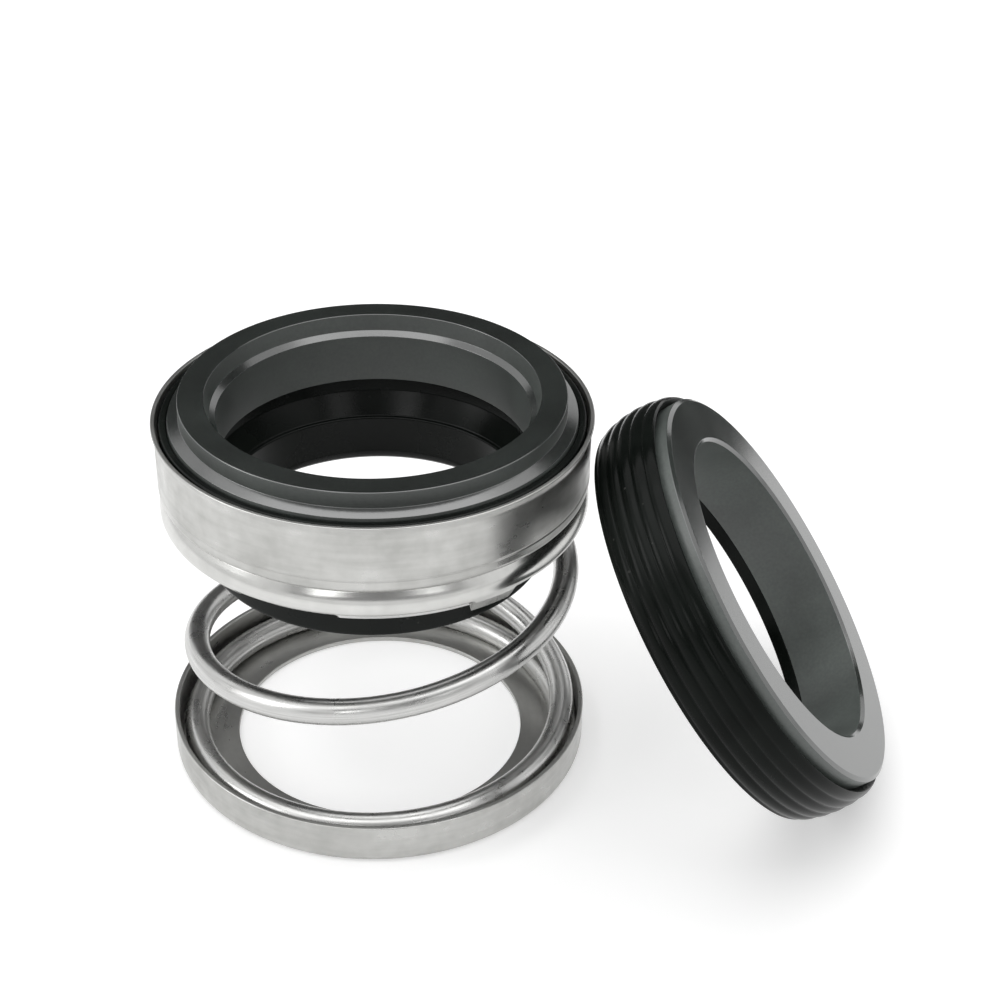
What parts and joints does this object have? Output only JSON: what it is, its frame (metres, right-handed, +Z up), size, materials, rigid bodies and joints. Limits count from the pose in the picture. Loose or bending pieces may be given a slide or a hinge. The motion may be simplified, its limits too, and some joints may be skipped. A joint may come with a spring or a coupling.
{
  "type": "elastomer bellows mechanical seal",
  "caption": "Shaft seal in two loose halves: a spring-loaded rotary head with a rubber bellows and a hard face ring, and a stationary ring in a ribbed rubber cup.",
  "frame": {"origin": "centre of the spring holder's underside, on the rotary head's axis", "axes": "+Z up the head's axis towards the lapped face of the face ring; +X towards the side where the seat leans"},
  "size_m": [0.0876, 0.0595, 0.0484],
  "materials": {
    "stainless_sheet": "drawn and tumbled stainless sheet",
    "spring_wire": "bright drawn stainless wire",
    "rubber": "moulded black rubber, satin",
    "dark_carbide": "lapped dark carbide, satin",
    "grey_carbide": "ground grey carbide, satin"
  },
  "bodies": {
    "stand": {"spring_holder": "stainless_sheet", "spring": "spring_wire", "seat_cup": "rubber", "seat_ring": "grey_carbide"},
    "head": {"shell": "stainless_sheet", "drive_band": "stainless_sheet", "bellows": "rubber", "face_ring": "dark_carbide"}
  },
  "joints": [
    {"name": "spring_compression", "type": "slide", "parent": "stand", "child": "head", "axis": [0, 0, 1], "range_m": [-0.012, 0], "stiffness_N_per_m": 5500, "deforming": ["spring"]}
  ]
}
